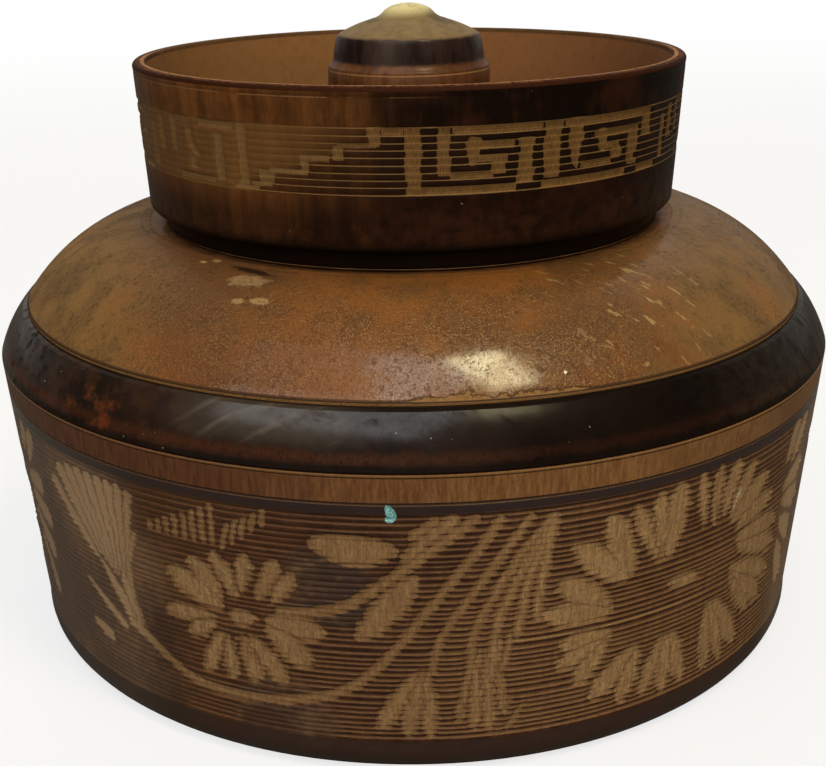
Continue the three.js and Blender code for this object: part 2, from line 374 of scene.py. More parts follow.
def body_profile():
    """The profile from the middle of the underside, up the outside, over the lip and down inside to the
    middle of the floor, and each row's number of columns."""
    on_wall = lambda *cuts: [[body_wall(height) - depth, height] for height, depth in cuts]
    in_wall = lambda *heights: [[body_wall(height) - WALL, height] for height in heights]
    corner = body_wall(FLOOR + FLOOR_FILLET) - WALL - FLOOR_FILLET
    neck_foot = SEAT_LEVEL - NECK_LENGTH
    underside = [[0, BASE_HOLLOW], [30, BASE_HOLLOW], [66, BASE_HOLLOW], [70, 0], [75.5, 0]]
    foot = bowed((BASE_RADIUS, 0), (body_wall(6.0), 6.0), FOOT_BOW, 7)[1:]
    below = np.vstack([rows(underside, BARE), rows(foot, BAND)])
    lines = line_rows(line_phase, LINE_COUNT, 4, 54, LINE_HALF_WIDTH, body_wall, BAND, LINE_DEPTH)
    edges = rows(on_wall((LINES_FOOT, 0), (BAND_TOP, 0)), BAND, 0, 1)
    carved = np.vstack([edges[:1], lines, edges[1:]])
    bead = bowed((BELLY_RADIUS, BELLY_HEIGHT + 0.45), (BEAD_RADIUS + 0.45, BEAD_TOP - 0.45), BEAD_BOW, 10)
    bead = np.insert(bead, [1, 10], [0.9 * bead[0] + 0.1 * bead[1], 0.1 * bead[9] + 0.9 * bead[10]], axis=0)
    shoulder = bowed((BEAD_RADIUS - 0.45, BEAD_TOP + 0.45), (LIP_RADIUS, LIP_TOP), SHOULDER_BOW, 24)
    mouth = [
        [LIP_RADIUS - 0.3, LIP_TOP - 0.1], [LIP_RADIUS - LIP_WIDTH, SEAT_LEVEL],
        [NECK_RADIUS + 0.4, SEAT_LEVEL], [NECK_RADIUS, SEAT_LEVEL - 0.4],
        [NECK_RADIUS, SEAT_LEVEL - 4], [NECK_RADIUS, neck_foot + 0.4],
    ]
    vault = bowed((NECK_RADIUS + 0.3, neck_foot), in_wall(BELLY_HEIGHT)[0], -VAULT_BOW, 9)
    above = np.vstack([
        rows(on_wall(*groove(BAND_GROOVE, 0.2), (52.0, 0), (STRIPE_FOOT - 0.1, GROOVE_DEPTH)), BAND),
        rows(on_wall((STRIPE_FOOT, 0), (52.5, 0), (54.5, 0), *groove(STRIPE_GROOVE, GROOVE_DEPTH)), STRIPE),
        rows([[BELLY_RADIUS, BELLY_HEIGHT], [BELLY_RADIUS - 0.35, BELLY_HEIGHT + 0.2]], STRIPE),
        rows(bead, BEAD),
        rows([[BEAD_RADIUS - 0.5, BEAD_TOP - 0.15], [BEAD_RADIUS - 0.6, BEAD_TOP + 0.2]], SHOULDER),
        rows(shoulder, SHOULDER),
        rows(np.vstack([mouth, vault, in_wall(48, 38, 28, 18)]), INSIDE),
        rows(rounded((corner, FLOOR + FLOOR_FILLET), FLOOR_FILLET, 0, -90, 6), INSIDE),
        rows([[50, FLOOR], [30, FLOOR], [12, FLOOR], [0, FLOOR]], INSIDE),
    ])
    return stacked([below, carved, above], [COARSE_COLUMNS, FINE_COLUMNS, COARSE_COLUMNS])


def paint(colour):
    """A colour's value for a socket: red, green and blue as a screen shows them, 0 to 255, are made
    linear, and a wire or a linear colour stays as it is."""
    if isinstance(colour, Wire) or len(colour) == 4:
        return colour
    shown = np.array(colour) / 255
    linear = np.where(shown <= 0.04045, shown / 12.92, ((shown + 0.055) / 1.055) ** 2.4)
    return (*linear.tolist(), 1.0)


class Wire:
    """A socket in a material's node tree. Arithmetic on wires adds Math nodes, and | is the larger."""

    def __init__(self, tree, socket):
        self.tree, self.socket = tree, socket

    def node(self, kind, inputs=(), output=0, **settings):
        """Any node: its kind, its sockets' values or wires, the output to take, and its settings."""
        made = self.tree.nodes.new("ShaderNode" + kind)
        for name, value in settings.items():
            setattr(made, name, value)
        for key, value in dict(inputs).items():
            if isinstance(value, Wire):
                self.tree.links.new(value.socket, made.inputs[key])
            else:
                made.inputs[key].default_value = value
        return None if output is None else Wire(self.tree, made.outputs[output])

    def math(self, operation, *others):
        return self.node("Math", enumerate((self, *others)), operation=operation)

    __add__ = __radd__ = partialmethod(math, "ADD")
    __mul__ = __rmul__ = partialmethod(math, "MULTIPLY")
    __sub__ = partialmethod(math, "SUBTRACT")
    __truediv__ = partialmethod(math, "DIVIDE")
    __pow__ = partialmethod(math, "POWER")
    __or__ = partialmethod(math, "MAXIMUM")
    __abs__ = partialmethod(math, "ABSOLUTE")
    sin = partialmethod(math, "SINE")
    floor = partialmethod(math, "FLOOR")
    fract = partialmethod(math, "FRACT")

    def __rsub__(self, other):
        return self.node("Math", {0: other, 1: self}, operation="SUBTRACT")

    def clip(self, low, high):
        return self.node("Clamp", {0: self, 1: low, 2: high})

    def step(self, low, high):
        """0 below low and 1 above high, smooth between. With low above high it falls instead."""
        return self.node("MapRange", {0: self, 1: low, 2: high}, interpolation_type="SMOOTHSTEP")

    def within(self, low, high, edge):
        """1 between low and high, with edges that wide."""
        return self.step(low - edge / 2, low + edge / 2) * (1 - self.step(high - edge / 2, high + edge / 2))

    def coats(self, under, *coats):
        """A base colour under coats, each an amount and a colour. A colour is a wire, or red, green and
        blue as a screen shows them, 0 to 255."""
        for amount, over in coats:
            inputs = {0: amount, 6: paint(under), 7: paint(over)}
            under = self.node("Mix", inputs, output=2, data_type="RGBA", clamp_factor=True)
        return under

    def times(self, *shares):
        return self.node("VectorMath", {0: self, 1: shares}, operation="MULTIPLY")

    def noise(self, scale, detail=3.0, rough=0.55, warp=0.0):
        """Cloudy noise from 0 to 1 at this place, with scale cycles to the mm."""
        inputs = {"Vector": self, "Scale": scale, "Detail": detail, "Roughness": rough, "Distortion": warp}
        return self.node("TexNoise", inputs, output="Fac")

    def sway(self, amount):
        """A noise as a shift to either side, by up to half the amount."""
        return (self - 0.5) * amount

    def parts(self):
        split = self.node("SeparateXYZ", {0: self}).socket.node
        return [Wire(self.tree, socket) for socket in split.outputs]


def material(name, finish, *values):
    """A material, filled in by a finish, which takes the place of a point in mm, and its x, y and z."""
    made = bpy.data.materials.new(name)
    made.use_nodes = True
    tree = made.node_tree
    tree.nodes.clear()
    place = Wire(tree, tree.nodes.new("ShaderNodeTexCoord").outputs["Object"]).times(*[1 / MM] * 3)
    finish(place, *place.parts(), *values)
    return made


def finish_surface(place, colour, roughness, coat, height, coat_roughness=0.12, specular=0.25):
    """The surface shader, with a bump from a height in mm."""
    bump = place.node("Bump", {"Height": height, "Distance": MM, "Strength": 1.0}, output="Normal")
    inputs = {
        "Base Color": colour, "Roughness": roughness, "Coat Weight": coat, "Coat Roughness": coat_roughness,
        "Specular IOR Level": specular, "Normal": bump,
    }
    surface = place.node("BsdfPrincipled", inputs, output="BSDF")
    place.node("OutputMaterial", {"Surface": surface}, output=None)


def spot(place, centre, reach, ragged, stretch=1.0, lean=0.0):
    """1 within a reach of a point, in mm, with a ragged edge. The reach is longer by stretch along a
    level direction that leans from the X axis by some degrees."""
    inputs = {"Location": centre, "Rotation": (0, 0, math.radians(lean)), "Scale": (stretch, 1, 1)}
    near = place.node("Mapping", {"Vector": place, **inputs}, vector_type="TEXTURE")
    far = near.node("VectorMath", {0: near}, output="Value", operation="LENGTH")
    return (far + (place.noise(1.2 / reach, 4, 0.6) - 0.5) * ragged).step(reach * 1.2, reach * 0.7)


def slanted(place, rotation, scale):
    """The place in axes that are turned by some radians and stretched, for scratches and streaks."""
    inputs = {"Vector": place, "Rotation": rotation, "Scale": scale}
    return place.node("Mapping", inputs, vector_type="TEXTURE")


def kept_strokes(place, u, v, tooth, comb):
    """The depth at (u, v) in the deeper of the two strokes that a face keeps, and 1 in the crease where
    two overlap evenly. A tooth shifts a broad stroke more than a narrow one, and a comb deepens it more.
    Stems, which taper no longer than half their width, have no creases."""
    depths, tapers = [], []
    for rank in ("first", "second"):
        numbers = []
        for part in "abc":
            numbers += place.node("Attribute", output="Vector", attribute_name=f"{rank}_{part}").parts()
        half_width, base_taper = numbers[6:8]
        depth = stroke_depth(u + tooth * (half_width * 1.5).clip(0.8, 2.8), v, *numbers)
        depths.append(depth + comb * (half_width * 0.6).clip(0.25, 1.0))
        tapers.append(base_taper - half_width)
    even = abs(depths[0] - depths[1]).step(0.8, 0.0)
    return depths[0] | depths[1], even * depths[0].step(-0.1, 0.15) * tapers[0].step(0.1, 0.6)


def band_finish(place, x, y, z):
    """Dark lacquer, cut by turned lines and scraped strokes that show the wood. Its grain is upright.
    The strokes' edges are jagged, with one tooth to each line, and the left is worn smooth. Round the
    sides the ground and the wood are lighter and greyer, partly wear and partly painted sheen and
    painted light."""
    u = x.math("ARCTAN2", 0 - y) * BAND_RADIUS
    clouds = place.noise(0.035, 3)
    mottle = place.noise(0.45, 5, 0.65)
    grit = place.noise(2.6, 3, 0.7)
    grain = place.times(1, 1, 0.1).noise(1.6, 4, 0.65)
    fibre = place.times(1, 1, 0.3).noise(4.0, 3, 0.65)

    count = (line_phase(z) + 0.5).floor()
    off_line = abs(line_phase(z) - count) * LINE_PITCH
    tooth = place.node("CombineXYZ", {0: u * 0.35, 1: count * 5.3}).noise(1.0, 1) - 0.5
    shaky_u = u + (place.noise(0.9, 3) - 0.5) * 0.8
    shaky_v = z + (place.noise(1.1, 3) - 0.5) * 0.6
    side = u.step(-46, -60) | u.step(78, 90)
    comb = 0.2 - (off_line / (LINE_PITCH / 2)) ** 3 * 0.85
    comb = comb * (0.5 + x.step(-30, 10) * 0.6) * (1 - side * 0.7)
    inside, crease = kept_strokes(place, shaky_u, shaky_v, tooth, comb)
    depth = inside + grit.sway(0.6)
    in_band = z.within(BAND_FOOT, BAND_TOP, 0.2)
    scraped = depth.step(-0.1 - side * 0.3, 0.16 + side * 0.5) * in_band
    heart = inside.step(0.1, 1.3)

    quiet = side | u.step(-40, -50) * z.step(43, 37) | spot(place, (-14.0, -80.5, 36.5), 8, 6)
    quiet = quiet | spot(place, (-23, -76.5, 9.5), 9, 6) * 0.8
    fresh = (x.step(-12, 24) * 0.5 + z.step(44, 31) * 0.35 + (clouds - 0.42) * 1.4).clip(0, 1)
    stray = place.node("CombineXYZ", {0: u * 0.02, 1: count * 3.7}).noise(1.0, 2) - 0.5
    line_half = 0.17 + fresh * 0.19 + mottle.sway(0.2) + stray * 0.35
    lines = (1 - (off_line - line_half).step(-0.06, 0.07)) * in_band * (1 - 0.8 * quiet)

    faded = place.coats((54, 38, 29), ((clouds + mottle.sway(0.4)).step(0.38, 0.62), (110, 83, 57)))
    ground = place.coats(
        (40, 20, 11),
        (mottle.step(0.35, 0.7), (58, 33, 18)),
        (x.step(-8, -40) * 0.25, (90, 58, 33)),
        (quiet * 0.75, faded),
        # Painted sheen: the ground is greyed round the worn sides.
        (side * 0.4, (100, 79, 62)),
    )
    line_wood = place.coats(
        (90, 58, 33), (fresh, (111, 79, 47)), (grain.step(0.35, 0.7) * 0.5, (72, 44, 24)),
    )
    wood = place.coats(
        (123, 93, 60),
        (grain.step(0.3, 0.7), (155, 123, 82)),
        (fibre.step(0.46, 0.62) * 0.5, (92, 64, 38)),
        (place.noise(1.5, 3, 0.6, 0.8).step(0.5, 0.62) * 0.3, (96, 68, 41)),
        (x.within(-22, 14, 20) * 0.3, (92, 62, 36)),
        ((1 - heart) * 0.65, (98, 68, 39)),
        (off_line.step(0.3, 0.45) * (1 - heart) * 0.4, (66, 40, 22)),
        # The wood round the sides is lighter, partly wear and partly painted light where the lamps reach
        # less.
        (side * 0.75, (160, 130, 96)),
        (crease * (0.2 + mottle.step(0.4, 0.6) * 0.3), (84, 57, 33)),
    )
    score = u.within(16, 53, 6)
    fleck = stroke_depth(shaky_u, z, *stroke(-2.6, 48.7, -3.0, 51.9, 1.9, -0.3, 0.3, 0.9))
    fleck = (fleck + mottle.sway(1.0)).step(-0.05, 0.1)
    teal = place.coats((84, 132, 130), (grit.step(0.45, 0.6), (138, 190, 186)))
    crust = stroke_depth(shaky_u, z, *stroke(41.9, 39.0, 43.4, 43.9, 1.7, 0.4, 0.4, 0.3))
    crust = (crust + grit.sway(3.0)).step(0.25, 0.6)
    colour = place.coats(
        ground,
        (lines * 0.95, line_wood),
        (scraped, wood),
        (score * abs(z - SCORE_HEIGHT - 0.4).step(0.17, 0.06) * 0.7, (56, 33, 18)),
        (score * abs(z - SCORE_HEIGHT).step(0.17, 0.05) * 0.42, (150, 116, 72)),
        (z.step(BAND_TOP - 0.2, BAND_TOP) * 0.85, (42, 31, 30)),
        (z.within(BAND_GROOVE - 0.1, BAND_GROOVE + 0.15, 0.12) * 0.7, (112, 80, 46)),
        (z.step(STRIPE_FOOT - 0.2, STRIPE_FOOT - 0.1), (36, 22, 15)),
        (z.step(BAND_FOOT, BAND_FOOT - 0.3) * 0.8, (45, 32, 26)),
        (fleck, teal),
        (crust * 0.6, (188, 168, 128)),
        (place.noise(1.2, 1).step(0.83, 0.85) * 0.8, (180, 165, 140)),
    )

    bared = scraped | lines * 0.8
    roughness = 0.42 + bared * 0.2 + mottle.sway(0.16) - side * 0.08
    height = grit.sway(0.04) + mottle.sway(0.04) - scraped * 0.06 + (fibre - 0.5) * bared * 0.06
    height = height - crease * scraped * 0.05 + crust * 0.1
    finish_surface(place, colour, roughness, (1 - bared) * 0.1 + side * 0.2, height, specular=0.2)


def stripe_finish(place, x, y, z):
    """The tan stripe: bare upright grain between two fine lines, under worn clear lacquer."""
    grain = place.times(1, 1, 0.12).noise(1.5, 4, 0.65)
    fibre = place.times(1, 1, 0.2).noise(4.6, 2, 0.6)
    clouds = place.noise(0.05, 3)
    shade = (x - clouds.sway(60)).step(44, -50)
    dark = place.coats((98, 62, 31), (shade, (66, 35, 19)))
    light = place.coats((124, 88, 50), (shade, (96, 57, 33)))
    colour = place.coats(
        dark,
        (grain.step(0.3, 0.72), light),
        (fibre.step(0.5, 0.66) * 0.45, (74, 44, 22)),
        ((clouds + grain.sway(0.5)).step(0.5, 0.66) * 0.5, (80, 50, 26)),
        (z.within(STRIPE_GROOVE - 0.12, STRIPE_GROOVE + 0.12, 0.1) * 0.7, (52, 31, 16)),
        (z.within(BELLY_HEIGHT - 0.3, BELLY_HEIGHT + 0.05, 0.1) * 0.4, (146, 108, 62)),
        (z.step(BELLY_HEIGHT + 0.02, BELLY_HEIGHT + 0.12), (30, 15, 8)),
    )
    roughness, coat = 0.48 + fibre.sway(0.2), 0.1 + grain.sway(0.1)
    finish_surface(place, colour, roughness, coat, fibre.sway(0.05), specular=0.2)


def bead_finish(place, x, y, z):
    """The black bead: thick lacquer, red-brown where it thins above the lower edge and at the left, and
    dulled by fine slanted scratches, with pale smears and painted sheen where the window reflects."""
    grit = place.noise(2.6, 3, 0.7)
    clouds = place.noise(0.06, 4, 0.6)
    mottle = place.noise(0.45, 5, 0.65)
    fibre = place.times(1, 1, 0.2).noise(3.0, 3, 0.6)
    scratches = slanted(place, (0, 0.75, 0), (9, 1, 1)).noise(0.5, 4, 0.6).step(0.5, 0.7)
    thin = (z + mottle.sway(2.0)).within(58.6, 60.2, 1.4) * (1 - x.step(-10, 30) * 0.7)
    streaks = slanted(place, (0, 0.5, 0), (5, 1, 1)).noise(0.25, 4, 0.65)
    glow = spot(place, (-54.0, -63.5, 60.4), 3.4, 5, 2.2, -40) * streaks.step(0.48, 0.66)
    # Pale slanted smears where the window reflects on the upper bead: scratch haze with painted sheen.
    smears_and_sheen = slanted(place, (0, -0.5, 0), (14, 1, 1)).noise(0.4, 3, 0.5).step(0.55, 0.72)
    smears_and_sheen = (0.5 + smears_and_sheen) * x.within(-37, -10, 16) * (z + mottle.sway(3)).step(59.6, 62.4)
    colour = place.coats(
        (14, 7, 4),
        (clouds.step(0.4, 0.65), (30, 17, 10)),
        (x.step(0, 24) * 0.7, (10, 5, 3)),
        (x.step(-2, -50) * (0.2 + 0.8 * streaks.step(0.45, 0.62)) * 0.6, (54, 33, 18)),
        (thin * (0.2 + fibre.step(0.3, 0.7) * 0.5), (66, 33, 14)),
        (glow * 0.55, (100, 44, 15)),
        (smears_and_sheen * 0.2, (124, 114, 98)),
        (x.step(40, 70) * mottle.step(0.2, 0.9) * 0.22, (84, 72, 56)),
        (z.step(58.6, 57.9) * 0.85, (16, 8, 4)),
        (grit.step(0.66, 0.8) * 0.2, (84, 66, 50)),
        (place.noise(1.1, 1).step(0.8, 0.82) * 0.8, (170, 160, 145)),
    )
    roughness = 0.3 + (clouds - 0.4) * 0.3 + scratches * 0.25 + mottle.sway(0.3)
    height = grit.sway(0.02) + (place.noise(0.16, 2) - 0.5) * 0.04 - scratches * 0.01
    coat = (0.7 - scratches * 0.4 + mottle.sway(1.4) - x.step(-30, -60) * 0.3).clip(0, 1)
    coat = coat * (1 - x.step(0, 16) * 0.75)
    finish_surface(place, colour, roughness, coat, height, coat_roughness=0.19, specular=0.05)


def shoulder_finish(place, x, y, z):
    """The shoulder: orange-brown stain with fine golden flecks of end grain, olive where it is worn at
    the sides, with scratches, a chip by the lip, a ragged lacquer edge above the groove and a ring of
    painted shade round the lid's foot."""
    reach = (x * x + y * y) ** 0.5
    clouds = place.noise(0.035, 4, 0.6)
    patches = place.noise(0.12, 5, 0.65)
    mottle = place.noise(0.45, 5, 0.65)
    grit = place.noise(2.2, 3, 0.7)
    flecks = place.noise(3.6, 3, 0.65).step(0.5, 0.66)
    golden = reach.step(56, 66) * (1 - abs(x + 8).step(34, 64)) * (0.28 + patches.step(0.35, 0.6) * 0.3)
    ruddy = z.step(73, 68) * (x.within(-60, -22, 18) | x.within(22, 50, 18))
    worn = (abs(x + 3) + patches.sway(44) + mottle.sway(12)).step(34, 58)
    olive = place.coats(
        (124, 94, 51), (patches.step(0.34, 0.64), (98, 74, 41)), (x.step(30, 60) * 0.3, (90, 66, 36)),
    )

    nicks = slanted(place, (0, 0, -0.4), (2.6, 0.9, 2)).noise(0.5, 3, 0.6).step(0.58, 0.66)
    nicks = nicks * spot(place, (38, -57, 76), 17, 14)
    chip = spot(place, (-28.3, -53.5, 79.8), 2.1, 3.0, 2.0, -26)
    chips = spot(place, (-37.3, -42.9, 80.4), 0.6, 0.8, 1.6, -40)
    chips = chips | spot(place, (-34.9, -43.1, 80.8), 0.6, 0.8, 1.8, -40)
    chips = chips | spot(place, (-29.4, -59.1, 78.0), 0.7, 0.9, 1.8, -26)
    chips = chips | spot(place, (-25.6, -60.2, 78.3), 0.9, 1.1, 2.2, -24)
    crack = spot(place, (-27.9, -49.6, 80.6), 0.9, 1.2, 5.2, -38)
    ragged = 0.7 + mottle.sway(4.0) + patches.sway(5.0)
    edge_height = z - ragged * spot(place, (14, -77, 67), 14, 10)
    lost = edge_height.step(67.0, 66.85)
    outline = edge_height.within(66.86, 67.2, 0.1)
    pits = place.noise(1.0, 4, 0.75).step(0.54, 0.61) * (0.3 + patches.step(0.42, 0.56) * 0.7)
    pits = pits | place.noise(2.6, 2, 0.6).step(0.6, 0.66) * 0.8
    colour = place.coats(
        (113, 68, 28),
        ((clouds + patches.sway(0.5)).step(0.34, 0.64), (86, 56, 28)),
        (mottle.step(0.5, 0.75) * 0.35, (78, 48, 26)),
        (ruddy * 0.35, (98, 52, 20)),
        (flecks * (golden + 0.08), (160, 120, 76)),
        (x.within(-46, -12, 22) * 0.3, (80, 50, 26)),
        (worn * 0.8, olive),
        (spot(place, (64.8, -38.9, 71), 5, 5) * 0.45, (126, 80, 32)),
        (nicks * 0.55, (166, 138, 88)),
        (chip * 0.75, (138, 110, 76)),
        (chips * 0.55, (166, 136, 90)),
        (crack * 0.95, (32, 17, 9)),
        (spot(place, (24.4, -73.0, 69.5), 0.27, 0.1), (225, 215, 195)),
        (outline * 0.75, (52, 32, 17)),
        (lost * 0.9, (122, 88, 48)),
        (z.within(BEAD_TOP - 0.18, BEAD_TOP + 0.1, 0.08), (24, 13, 7)),
        (z.within(BEAD_TOP + 0.5, BEAD_TOP + 0.75, 0.08) * 0.9, (34, 20, 10)),
        # Painted shade: a dark ring just outside the lid's foot, as the lid's shadow on the shoulder.
        (reach.within(LIP_RADIUS + 1.3, LIP_RADIUS + 1.8, 0.2) * 0.4, (60, 38, 22)),
        (pits * 0.45, (66, 40, 22)),
    )
    glossy = (x + patches.sway(24)).step(-18, 3) | z.step(68.6, 67.4) * 0.4
    roughness = 0.3 + worn * 0.25 + mottle.sway(0.3) + pits * 0.3 + lost * 0.2 + grit.sway(0.2)
    roughness = roughness + (1 - glossy) * 0.2
    coat = (1 - (lost | outline)) * (0.95 - 0.75 * worn) * (1 - 0.85 * pits) * (0.15 + glossy * 0.85)
    coat = coat * (0.6 + (patches + mottle.sway(0.5)).step(0.4, 0.6) * 0.4)
    height = grit.sway(0.05) + mottle.sway(0.14) + patches.sway(0.3) - lost * 0.08
    height = height + nicks * 0.06 - chip * 0.25 - pits * 0.05
    finish_surface(place, colour, roughness, coat, height, coat_roughness=0.14, specular=0.14)


def plain_finish(place, x, y, z, dark, light, roughness, coat):
    """Stained wood with growth rings across the block and faint tool lines, for hidden sides."""
    grain = place.times(0.35, 1, 1).noise(0.5, 4, 0.6, 0.4)
    patches = place.noise(0.09, 4, 0.6)
    fibre = place.times(1, 1, 0.2).noise(4.0, 2, 0.6)
    colour = place.coats(
        dark, (grain.step(0.3, 0.7), light), (patches.step(0.5, 0.8) * 0.4, dark),
    )
    tool = ((x * x + y * y) ** 0.5 + z) * 4.2
    height = fibre.sway(0.05) + np.sin(tool) * 0.012
    finish_surface(place, colour, roughness + grain.sway(0.15), coat + patches.sway(0.1), height)


BARE_WOOD = (112, 80, 50), (150, 114, 74), 0.6, 0.05
body_rows, body_columns = body_profile()
body_finishes = [
    material("bare_underside", plain_finish, *BARE_WOOD),
    material("lacquered_band", band_finish),
    material("tan_stripe", stripe_finish),
    material("black_bead", bead_finish),
    material("amber_shoulder", shoulder_finish),
    material("stained_inside", plain_finish, (98, 62, 34), (132, 88, 50), 0.5, 0.1),
]
body = turned("carved_body", body_rows, body_columns, body_finishes, body_ornament(), BAND_RADIUS)
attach(body, "box")
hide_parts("body")


# The lid: a cup of the same wood on a spigot that drops into the neck. A stepped fret is scraped through
# the lacquer round its wall, between fine turned lines. It isn't hinged, and lifts off.
LID_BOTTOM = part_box("lid")[0].z / MM
RIM_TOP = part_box("lid")[1].z / MM
RIM_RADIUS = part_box("lid")[1].x / MM
SPIGOT_RADIUS = NECK_RADIUS - 0.4
SPIGOT_TOP = SEAT_LEVEL + 0.3
LID_FOOT_RADIUS = 50.5
COVE_TOP = SPIGOT_TOP + 4.4
COVE_BOW = 1.1
LID_WALL_FOOT = LID_FOOT_RADIUS + 3.0
RIM_THICKNESS = 2.6
TRAY_FLOOR = LID_BOTTOM + 9.0
TRAY_WALL = 3.8
TRAY_FILLET = 4.0
SOCKET_RADIUS = 8.3
SOCKET_FLOOR = 77.2
FRET_RADIUS = 54.4
FRET_FOOT = 94.0
FRET_TOP = 106.6
FRET_START = 94.6
FRET_PITCH = 1.29
FRET_LINES = 10
LID_FINE_COLUMNS = 480


def fret_phase(height):
    """How many turned lines of the lid lie below a height."""
    return (height - FRET_START) / FRET_PITCH + 0.05 * np.sin(1.1 * height)


def lid_wall(height):
    """The lid's outer wall: a straight flare from the cove to the rim."""
    return LID_WALL_FOOT + (RIM_RADIUS - LID_WALL_FOOT) * (height - COVE_TOP) / (RIM_TOP - COVE_TOP)


def lid_profile():
    """The profile from the middle of the spigot's underside, up the outside, over the rim and down to
    the socket in the tray's floor, and each row's number of columns."""
    rim_inside = RIM_RADIUS - RIM_THICKNESS
    tray = LID_WALL_FOOT - TRAY_WALL
    on_wall = lambda *heights: [[lid_wall(height), height] for height in heights]
    spigot = [
        [0, LID_BOTTOM], [20, LID_BOTTOM], [SPIGOT_RADIUS - 1, LID_BOTTOM], [SPIGOT_RADIUS, LID_BOTTOM + 1],
        [SPIGOT_RADIUS, SPIGOT_TOP], [LID_FOOT_RADIUS - 0.3, SPIGOT_TOP],
    ]
    cove = bowed((LID_FOOT_RADIUS, SPIGOT_TOP + 0.3), (LID_WALL_FOOT - 0.3, COVE_TOP - 0.3), -COVE_BOW, 6)
    wall = [[LID_WALL_FOOT - 0.05, COVE_TOP], *on_wall(COVE_TOP + 0.5, 87, 90, 93)]
    below = np.vstack([rows(spigot, 0), rows(cove, 1), rows(wall, 1)])
    lines = line_rows(fret_phase, FRET_LINES, 90, 110, 0.2, lid_wall, 1, 0.06)
    edges = rows(on_wall(FRET_FOOT, FRET_TOP), 1, 0, 1)
    fret = np.vstack([edges[:1], lines, edges[1:]])
    above = np.vstack([
        rows(on_wall(109, 111.0), 1), rows([[lid_wall(111.3) - 0.1, 111.3]], 1), rows(on_wall(111.6), 1),
        rows(rounded((RIM_RADIUS - 1, RIM_TOP - 1), 1, 10, 90, 5), 2),
        rows(rounded((rim_inside + 0.5, RIM_TOP - 0.5), 0.5, 100, 180, 3), 2),
        rows([[rim_inside - 1.0, 103], [tray + 0.4, 92]], 2),
        rows(rounded((tray - TRAY_FILLET, TRAY_FLOOR + TRAY_FILLET), TRAY_FILLET, 0, -90, 6), 2),
        rows([[36, TRAY_FLOOR], [24, TRAY_FLOOR], [SOCKET_RADIUS, TRAY_FLOOR]], 2),
        rows([[SOCKET_RADIUS, SOCKET_FLOOR], [0, SOCKET_FLOOR]], 0),
    ])
    return stacked([below, fret, above], [COARSE_COLUMNS, LID_FINE_COLUMNS, COARSE_COLUMNS])


# Bars and strips of the fret: left and right edge in degrees, and lower and upper height.
FRET_BLOCKS = [
    (-0.8, 2, 94.6, 106.3), (4.6, 7.2, 97.8, 106.2), (7.5, 24.5, 105, 106.2), (29, 52, 105, 106.2),
    (10.5, 19, 102.2, 103.6), (11.2, 17.5, 100, 101.3), (14.6, 17.4, 97.8, 100.5), (7, 15, 97.3, 98.3),
    (19.6, 22.8, 96, 103.8), (-0.8, 19.5, 94.6, 96), (24.5, 45, 94.6, 96), (49, 56, 94.6, 96),
    (24.8, 28.3, 96.3, 106.2), (36, 46, 102.2, 103.5), (37.5, 43, 100, 101.3), (40.6, 43.4, 98, 100.3),
    (33, 41, 97.3, 98.3), (45.4, 48.6, 96.3, 103.5), (50, 53, 101, 106),
    (-34.5, -29, 94.7, 95.4), (-30.5, -26, 95.3, 96.2), (-28.5, -25.5, 96, 98.5),
    (-26.5, -18.5, 97.8, 98.9), (-20, -18.3, 98.5, 100.4), (-20, -14.5, 100.3, 101.5),
    (-14, -11.8, 100.6, 103.2),
    (-13, -6, 102.8, 103.6), (-7.3, -5, 103, 107.2), (-5, -1, 105, 106.2),
    (-33.2, -31, 95.2, 106.3), (-39, -36.8, 95.5, 104), (-43, -34, 105, 106.2),
    (-46.6, -44.4, 97, 99.2), (-50, -39.5, 95, 96), (-52.5, -50.5, 99.5, 106),
    (-52, -46, 105.3, 106.2), (-58, -55.5, 99, 105.5), (-62, -60, 96, 104),
]
FRET_TEETH = [
    (11.6, 104.4, 11, 99.4, 2.6), (31.8, 106.6, 31.7, 97.4, 3.4), (37.8, 103.9, 38.6, 99.6, 2.8),
    (-46.3, 104.2, -46, 100.8, 1.6), (-46, 101.4, -43.2, 99, 1.5),
]


def lid_ornament():
    """The fret: each block is a stroke with square ends down its middle, and each tooth narrows to its
    tip. The front's third is carried on round the lid."""
    made = []
    for left, right, low, high in FRET_BLOCKS:
        across = math.radians(right - left) * FRET_RADIUS
        if across > high - low:
            middle = (low + high) / 2
            made.append(stroke(left, middle, right, middle, high - low, 0, 0, 0, FRET_RADIUS))
        else:
            middle = (left + right) / 2
            made.append(stroke(middle, high, middle, low, across, 0, 0, 0, FRET_RADIUS))
    made += [stroke(*row, 0, 0.05, 0.8, FRET_RADIUS) for row in FRET_TEETH]
    return carried_round(np.array(made), FRET_RADIUS, seed=11, uneven=0.05)


